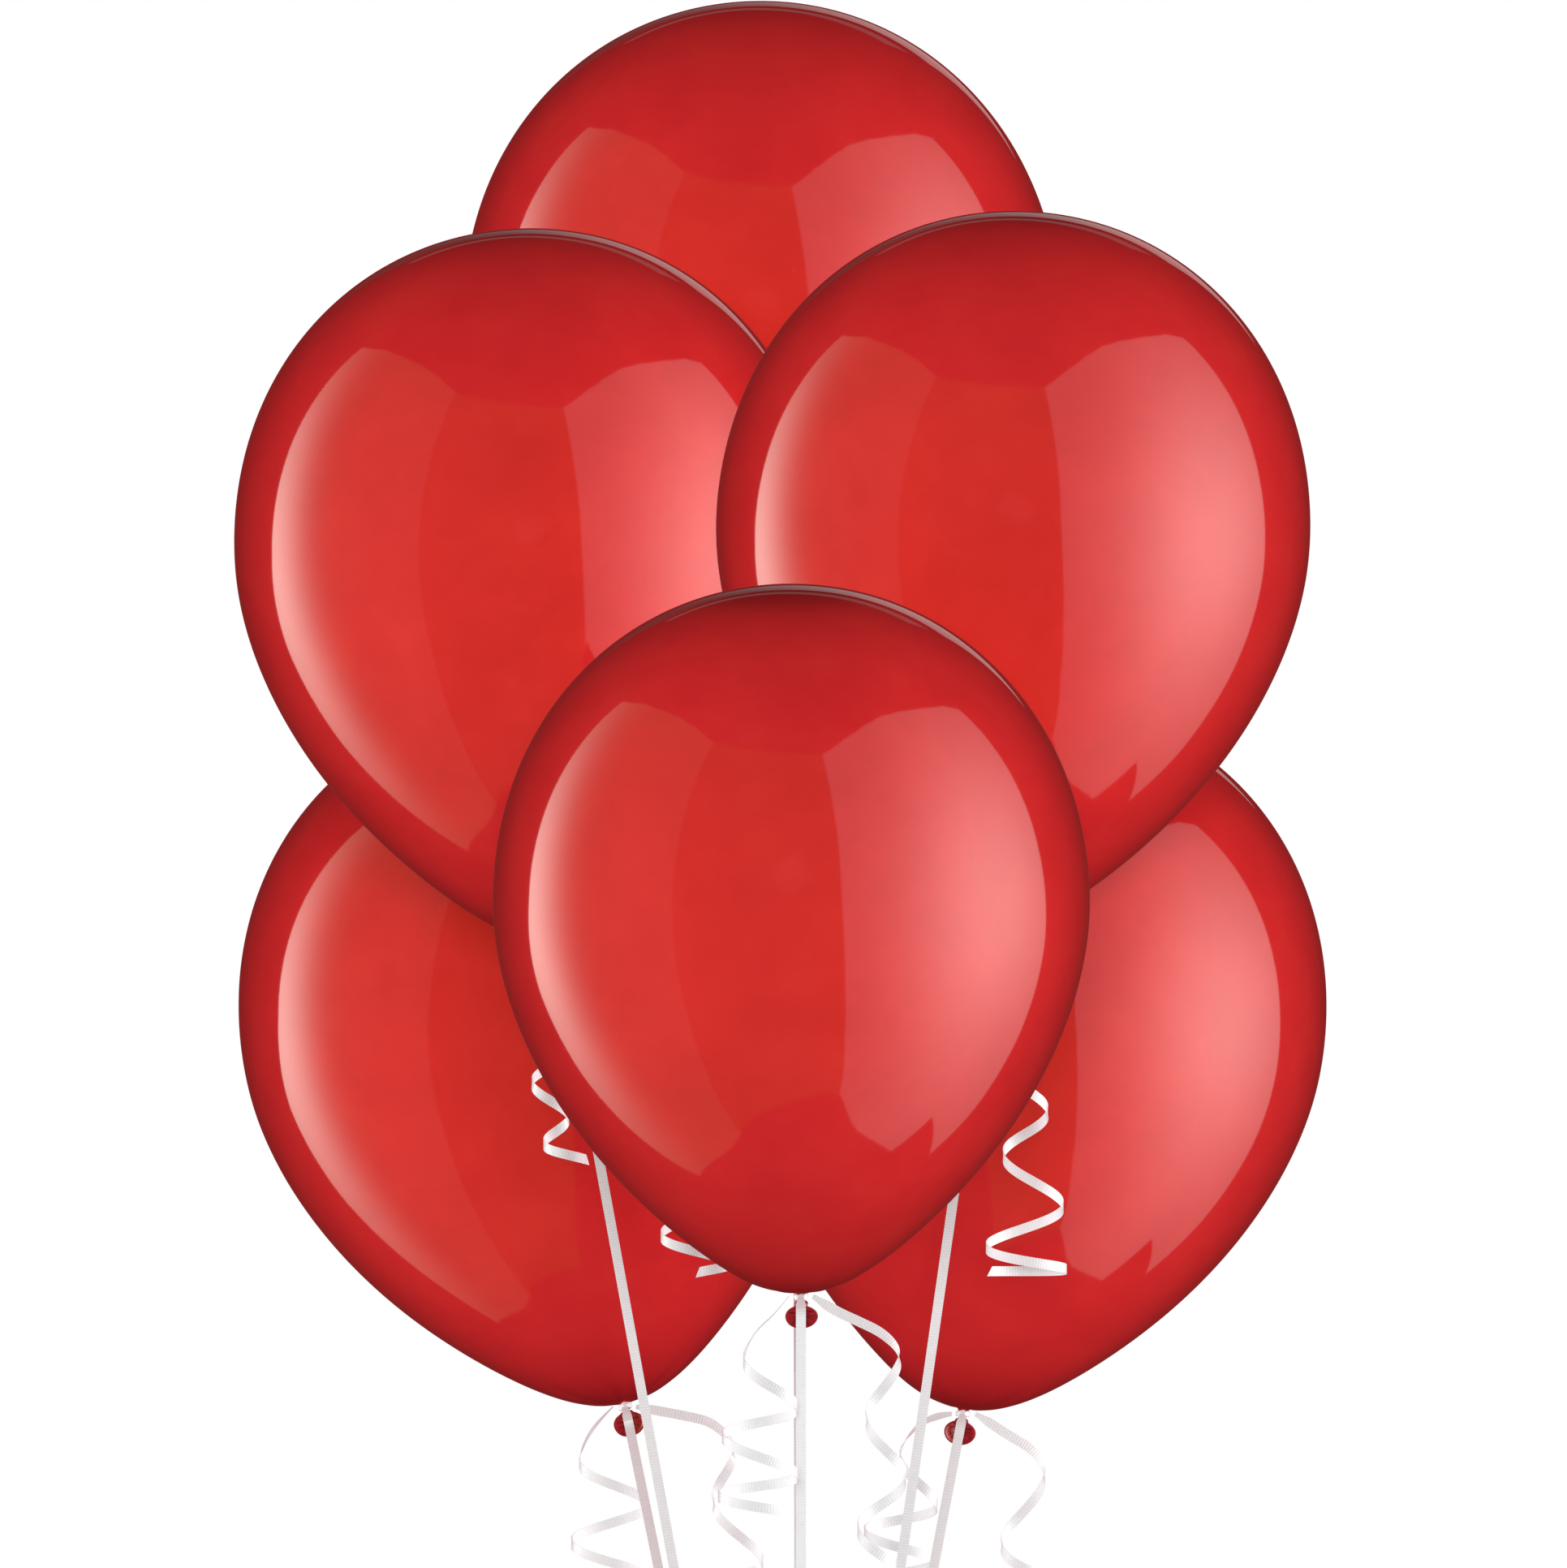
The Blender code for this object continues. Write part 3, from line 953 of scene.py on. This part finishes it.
def add_cut_ends(material):
    """Six short ends that fan out below the knot, each cut at its own length and slant."""
    points, faces, along = [], [], []
    for i in range(len(NAMES)):
        angle = 2 * math.pi * i / len(NAMES) + 0.4
        out = np.array((math.cos(angle), math.sin(angle), 0.0))
        aside = np.array((-math.sin(angle), math.cos(angle), 0.0))
        end = -BRUSH_BOTTOM + 0.0014 * (i % 3) + 0.0016
        route = [
            out * 0.0012 + (0.0, 0.0, -BRUSH_TOP),
            out * 0.0036 + (0.0, 0.0, -0.5 * (BRUSH_TOP + BRUSH_BOTTOM)),
            out * BRUSH_RADIUS + (0.0, 0.0, end),
        ]
        path = smooth_route(route, 14)
        spin = np.linspace(0.0, 0.7 * (-1) ** i, len(path))[:, None]
        wide = np.cos(spin) * aside + np.sin(spin) * out
        width = np.linspace(0.55, 0.95, len(path)) * RIBBON_WIDTH
        strip = strip_points(path, wide, width, RIBBON_THICKNESS)
        for j, side in enumerate(BOTH_FACES):
            strip[-1, j, 2] -= 0.0014 * side * (-1) ** i
        run = np.linspace(0.0, path_length(path), len(path))
        faces += strip_faces(len(path), sum(len(p) for p in points))
        points.append(strip.reshape(-1, 3))
        along.append(np.repeat(run, len(BOTH_FACES)))
    ends = add_mesh(
        "cut_ends", np.concatenate(points), faces, material, merge=1e-7, along=np.concatenate(along)
    )
    ends.data.set_sharp_from_angle(angle=SHARP_EDGE)
    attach(ends, "gather")
    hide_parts("gather_ends")


# ---------------------------------------------------------------- studio


def add_camera():
    """A camera straight in front, which frames VIEW_HEIGHT at the front balloon's middle."""
    front, radius = balloon_place("front")
    middle = front @ Vector((0.0, 0.0, BASE_HEIGHT * radius))
    data = bpy.data.cameras.new("camera")
    data.lens = LENS
    data.sensor_width = SENSOR
    data.clip_end = 100.0
    camera = bpy.data.objects.new("camera", data)
    distance = VIEW_HEIGHT * LENS / SENSOR
    camera.location = (VIEW_CENTRE[0], middle.y - distance, VIEW_CENTRE[1])
    camera.rotation_euler = (math.pi / 2, 0.0, 0.0)
    bpy.context.scene.collection.objects.link(camera)
    bpy.context.scene.camera = camera


def add_panel(name, top, bottom, left, right, glow, colour=(1.0, 1.0, 1.0), warm=0.0):
    """A glowing patch of the dome that only gloss sees. top and bottom are elevations from its
    left edge to its right edge, left and right are azimuths from its bottom to its top, and
    glow(azimuth, elevation) is its brightness."""
    count = 48
    u, v = np.meshgrid(np.linspace(0, 1, count), np.linspace(0, 1, count))

    def along(values, share):
        return np.interp(share, np.linspace(0, 1, len(values)), values)

    azimuth = along(left, v) * (1 - u) + along(right, v) * u
    elevation = along(bottom, u) * (1 - v) + along(top, u) * v
    a, e = np.radians(azimuth), np.radians(elevation)
    points = np.stack([np.sin(a) * np.cos(e), -np.cos(a) * np.cos(e), np.sin(e)], -1)
    points = np.array(DOME_CENTRE) + DOME_RADIUS * points
    faces = [
        (i * count + j, i * count + j + 1, (i + 1) * count + j + 1, (i + 1) * count + j)
        for i in range(count - 1)
        for j in range(count - 1)
    ]
    material = bpy.data.materials.new(name)
    material.use_nodes = True
    material.cycles.emission_sampling = "NONE"
    tree = material.node_tree
    tree.nodes.clear()
    level = add_node(tree, "ShaderNodeAttribute", {"attribute_name": "glow"}).outputs["Fac"]
    light = add_node(tree, "ShaderNodeEmission", Color=(*colour, 1.0), Strength=level)
    bounce = add_node(tree, "ShaderNodeEmission", Color=WARM, Strength=warm)
    both = add_node(tree, "ShaderNodeAddShader", i0=light.outputs[0], i1=bounce.outputs[0])
    add_node(tree, "ShaderNodeOutputMaterial", Surface=both.outputs[0])
    panel = add_mesh(name, points.reshape(-1, 3), faces, material, glow=glow(azimuth, elevation))
    stage_only_gloss(panel)


def add_panels():
    """The two soft boxes beside the camera, the pale wall behind it, and a strip at the back."""

    def left_glow(azimuth, elevation):
        spot = np.exp(-(((azimuth + 117) / 17) ** 2) - ((elevation + 4) / 30) ** 2)
        return 0.22 + 6.0 * spot

    def right_glow(azimuth, elevation):
        spot = np.exp(-(((azimuth - 80) / 34) ** 2) - ((elevation + 4) / 38) ** 2)
        return 0.84 + 4.2 * spot

    add_panel(
        "soft_box_left",
        top=(42.5, 49.0, 52.0, 53.5, 52.5, 49.0),
        bottom=(-60.0, -65.0, -69.0, -71.5, -72.5, -72.5),
        left=(-122, -124, -126, -125, -120, -118, -116.5, -116),
        right=(-62, -53, -48, -46, -45, -44, -43, -42),
        glow=left_glow,
        colour=(1.06, 0.97, 0.90),
        warm=0.45,
    )
    add_panel(
        "soft_box_right",
        top=(46.5, 52.0, 55.5, 57.0, 55.5, 52.0, 47.0),
        bottom=(-64.0, -67.0, -69.0, -69.0, -67.5, -65.0, -61.5),
        left=(36, 27, 22.5, 20, 18.5, 18, 17, 16),
        right=(104.0, 104.0),
        glow=right_glow,
        colour=(1.03, 1.0, 0.94),
    )
    add_panel(
        "soft_box_right_edge",
        top=(47.0, 42.5),
        bottom=(-50.0, -48.0),
        left=(103.9, 103.9),
        right=(123.5, 123.5, 121.0, 117.0, 114.0, 112.0, 111.0, 110.5, 110.5),
        glow=right_glow,
        colour=(1.03, 1.0, 0.94),
    )
    add_panel(
        "wall_behind_camera",
        top=(49.0, 48.0, 46.5),
        bottom=(-72.0, -70.0, -64.0),
        left=(-62, -53, -48, -46, -45, -44, -43, -42),
        right=(36, 27, 22.5, 20, 18.5, 18, 17, 16),
        glow=lambda azimuth, elevation: 0 * azimuth,
        warm=0.42,
    )
    add_panel(
        "back_strip",
        top=(24.0, 25.0, 24.0),
        bottom=(12.0, 14.0, 15.0),
        left=(162, 163),
        right=(195, 194),
        glow=lambda azimuth, elevation: 0.12 + 0.95 * smoothstep(190.0, 168.0, azimuth),
        colour=(1.0, 0.68, 0.66),
    )
    add_panel(
        "back_strip_upper",
        top=(33.5, 32.0, 29.0),
        bottom=(28.5, 29.0, 27.0),
        left=(162, 162),
        right=(195, 195),
        glow=lambda azimuth, elevation: 0.40 + 0 * azimuth,
        colour=(1.0, 0.72, 0.70),
    )


def add_flag():
    """An upright flag between the two lowest balloons that keeps the soft boxes out of their
    inner sides, as in the photograph. Only gloss sees it."""
    (near, far), (low, high) = FLAG_Y, FLAG_Z
    points = [(0.0, near, low), (0.0, far, low), (0.0, far, high), (0.0, near, high)]
    material = bpy.data.materials.new("flag")
    material.use_nodes = True
    material.cycles.emission_sampling = "NONE"
    tree = material.node_tree
    tree.nodes.clear()
    light = add_node(tree, "ShaderNodeEmission", Color=(*ROOM, 1.0), Strength=1.0)
    add_node(tree, "ShaderNodeOutputMaterial", Surface=light.outputs[0])
    stage_only_gloss(add_mesh("flag", points, [(0, 1, 2, 3)], material))


def stage_only_gloss(thing):
    """Keeps the thing out of every ray but gloss."""
    thing.visible_glossy = True
    thing.visible_camera = False
    thing.visible_diffuse = False
    thing.visible_transmission = False
    thing.visible_shadow = False


def add_lights():
    """The broad lights that shape the colour, with no gloss of their own. The one in front
    casts the soft shade of one balloon on the next."""
    towards = Vector(DOME_CENTRE)
    for name, azimuth, elevation, strength, angle, shade in LIGHTS:
        data = bpy.data.lights.new(name, "SUN")
        data.energy = strength
        data.angle = math.radians(angle)
        data.use_shadow = shade
        light = bpy.data.objects.new(name, data)
        a, e = math.radians(azimuth), math.radians(elevation)
        away = Vector((math.sin(a) * math.cos(e), -math.cos(a) * math.cos(e), math.sin(e)))
        light.location = towards + LIGHT_DISTANCE * away
        light.rotation_euler = (-away).to_track_quat("-Z", "Y").to_euler()
        light.visible_camera = False
        light.visible_glossy = False
        bpy.context.scene.collection.objects.link(light)


def set_world():
    """White to the camera, soft and even for colour, dark red for gloss."""
    world = bpy.data.worlds.new("studio")
    world.use_nodes = True
    tree = world.node_tree
    tree.nodes.clear()
    path = add_node(tree, "ShaderNodeLightPath")
    fill = add_node(tree, "ShaderNodeBackground", Color=(1.0, 0.99, 0.985, 1.0), Strength=0.28)
    gloss = add_node(tree, "ShaderNodeBackground", Color=(*ROOM, 1.0), Strength=1.0)
    seen = add_node(tree, "ShaderNodeBackground", Color=(1.0, 1.0, 1.0, 1.0), Strength=1.0)
    both = add_node(
        tree,
        "ShaderNodeMixShader",
        i0=path.outputs["Is Glossy Ray"],
        i1=fill.outputs[0],
        i2=gloss.outputs[0],
    )
    shown = add_node(
        tree,
        "ShaderNodeMixShader",
        i0=path.outputs["Is Camera Ray"],
        i1=both.outputs[0],
        i2=seen.outputs[0],
    )
    add_node(tree, "ShaderNodeOutputWorld", Surface=shown.outputs[0])
    bpy.context.scene.world = world


def add_floor():
    """A pale, dull floor just under the lowest ribbon ends."""
    material, tree, shader = new_material("pale_floor")
    spot = add_node(tree, "ShaderNodeTexCoord").outputs["Object"]
    grain = add_node(tree, "ShaderNodeTexNoise", Vector=spot, Scale=3.0, Detail=3.0)
    shade = ramp(
        tree, grain.outputs["Fac"], ((0.3, (0.90, 0.90, 0.90, 1)), (0.7, (0.94, 0.94, 0.94, 1)))
    )
    tree.links.new(shade, shader.inputs["Base Color"])
    shader.inputs["Roughness"].default_value = 0.7
    shader.inputs["Specular IOR Level"].default_value = 0.0
    tree.links.new(shade, shader.inputs["Emission Color"])
    shader.inputs["Emission Strength"].default_value = 0.24
    material.cycles.emission_sampling = "NONE"
    steps = 128
    turn = np.linspace(0.0, 2 * math.pi, steps, endpoint=False)
    height = cad_box[0].z - FLOOR_GAP
    disc = [FLOOR_RADIUS * np.cos(turn), FLOOR_RADIUS * np.sin(turn), height + 0 * turn]
    floor = add_mesh("floor", np.stack(disc, 1), [tuple(range(steps))], material)
    floor.visible_diffuse = False


# ---------------------------------------------------------------- build

add_camera()
ribbon = ribbon_material()
stretched = latex_material()
unstretched = thick_latex_material()
for label in NAMES:
    spot_place, spot_radius = balloon_place(label)
    spot_foot = tuple(spot_place.translation)
    add_lead(label, spot_foot, ribbon)
    for tail_side in TAILS[label]:
        add_tail(label, tail_side, spot_foot, ribbon)
    add_loop(label, spot_place, ribbon)
    add_skin(label, spot_place, spot_radius, stretched)
    add_neck_knot(label, spot_place, unstretched)
    add_mouth(label, spot_place, unstretched)
add_gather(ribbon)
add_panels()
add_flag()
add_lights()
set_world()
add_floor()
bpy.context.scene.view_settings.view_transform = "Standard"
